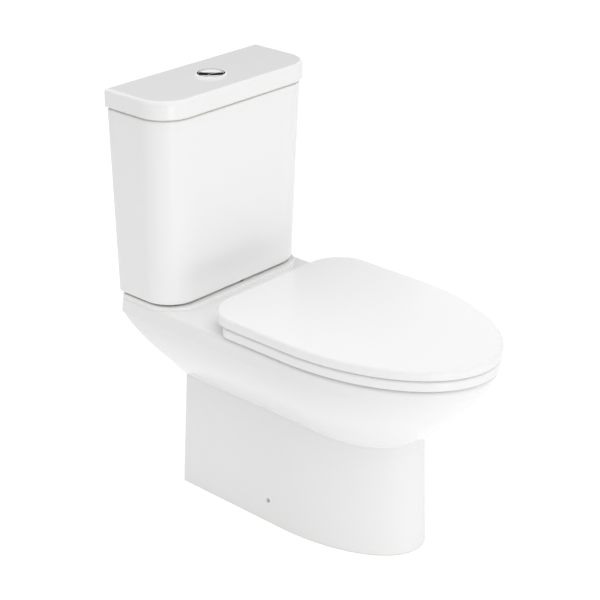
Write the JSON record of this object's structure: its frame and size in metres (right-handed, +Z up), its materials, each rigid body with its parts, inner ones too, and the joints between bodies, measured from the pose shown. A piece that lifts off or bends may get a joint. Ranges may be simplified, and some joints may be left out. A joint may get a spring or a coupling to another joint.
{
  "type": "close-coupled toilet",
  "caption": "White china close-coupled toilet: pan with back outlet, cistern with lift-off lid and dual-flush button, hinged seat and cover, and working flush and fill valves.",
  "frame": {"origin": "middle of the footprint on the floor", "axes": "+Z up, -Y out of the front, +X to the user's left when seated"},
  "size_m": [0.385, 0.714, 0.7885],
  "materials": {
    "china": "white gloss glaze",
    "seat_plastic": "white moulded thermoset, polished",
    "chrome": "bright plated",
    "steel": "plain stainless",
    "bracket_plastic": "moulded nylon",
    "rubber": "matt moulded",
    "damper_plastic": "moulded",
    "valve_white": "moulded",
    "valve_blue": "moulded"
  },
  "bodies": {
    "china": {"pan": "china", "pan_bowl": "china", "pan_trapway": "china", "pan_outlet": "china", "pan_flush_duct": "china", "cistern_tank": "china", "hinge_posts": "chrome", "hinge_bolts": "steel", "hinge_cones": "rubber", "hinge_wing_nuts": "bracket_plastic", "hinge_pins": "steel", "hinge_dampers": "damper_plastic", "flush_valve_base": "valve_white", "flush_valve_tower": "valve_white", "flush_valve_head": "valve_blue", "rocker_pins": "steel", "flush_valve_washer": "rubber", "flush_valve_nut": "valve_white", "coupling_gasket": "rubber", "fill_valve_body": "valve_white", "fill_valve_washer": "rubber", "fill_valve_nut": "valve_white", "fill_valve_cap": "valve_blue", "fill_lever_pin": "steel", "tank_bolts": "steel", "tank_bolt_seals": "rubber", "tank_bolt_plates": "steel", "tank_wing_nuts": "steel", "tank_cushions": "rubber", "floor_brackets": "bracket_plastic", "side_screws": "steel"},
    "lid": {"cistern_lid": "china", "button_bezel": "chrome", "button_nut": "valve_white", "button_housing": "valve_white", "button_spring_full": "steel", "button_spring_half": "steel"},
    "full_button": {"button_full": "chrome", "push_rod_full": "valve_blue"},
    "half_button": {"button_half": "chrome", "push_rod_half": "valve_blue"},
    "seat": {"seat_ring": "seat_plastic", "seat_buffers": "rubber"},
    "cover": {"seat_cover": "seat_plastic", "cover_buffers": "rubber"},
    "flush_tube": {"overflow_tube": "valve_white", "flush_seal": "rubber"},
    "full_rocker": {"rocker_full": "valve_blue"},
    "half_rocker": {"rocker_half": "valve_blue"},
    "float": {"fill_float": "valve_white", "fill_link_rod": "valve_blue"},
    "float_lever": {"fill_lever": "valve_blue"}
  },
  "joints": [
    {"name": "seat_hinge", "type": "hinge", "parent": "china", "child": "seat", "pos_m": [0, 0.125, 0.406], "axis": [-1, 0, 0], "range_deg": [0, 95]},
    {"name": "cover_hinge", "type": "hinge", "parent": "seat", "child": "cover", "pos_m": [0, 0.125, 0.406], "axis": [1, 0, 0], "range_deg": [-95, 0]},
    {"name": "lid_lift", "type": "slide", "parent": "china", "child": "lid", "axis": [0, 0, 1], "range_m": [0, 0.15]},
    {"name": "full_press", "type": "slide", "parent": "lid", "child": "full_button", "axis": [0, 0, -1], "range_m": [0, 0.006], "stiffness_N_per_m": 400, "springref_m": -0.005, "deforming": ["button_spring_full"]},
    {"name": "half_press", "type": "slide", "parent": "lid", "child": "half_button", "axis": [0, 0, -1], "range_m": [0, 0.006], "stiffness_N_per_m": 400, "springref_m": -0.005, "deforming": ["button_spring_half"]},
    {"name": "flush_lift", "type": "slide", "parent": "china", "child": "flush_tube", "axis": [0, 0, 1], "range_m": [0, 0.0116]},
    {"name": "full_rocker_turn", "type": "hinge", "parent": "china", "child": "full_rocker", "pos_m": [0.04, 0.275, 0.652], "axis": [0, 1, 0], "range_deg": [0, 30.5]},
    {"name": "half_rocker_turn", "type": "hinge", "parent": "china", "child": "half_rocker", "pos_m": [-0.04, 0.275, 0.652], "axis": [0, -1, 0], "range_deg": [0, 30.5]},
    {"name": "float_rise", "type": "slide", "parent": "china", "child": "float", "axis": [0, 0, 1], "range_m": [0, 0.012]},
    {"name": "float_lever_turn", "type": "hinge", "parent": "china", "child": "float_lever", "pos_m": [-0.109, 0.281, 0.6745], "axis": [0, -1, 0], "range_deg": [0, 30.5]}
  ],
  "couplings": [
    {"joint": "flush_lift", "follows": "full_press", "ratio": 1.9},
    {"joint": "full_rocker_turn", "follows": "full_press", "rad_per_m": 87},
    {"joint": "half_rocker_turn", "follows": "half_press", "rad_per_m": 87},
    {"joint": "float_lever_turn", "follows": "float_rise", "rad_per_m": 43.5}
  ]
}
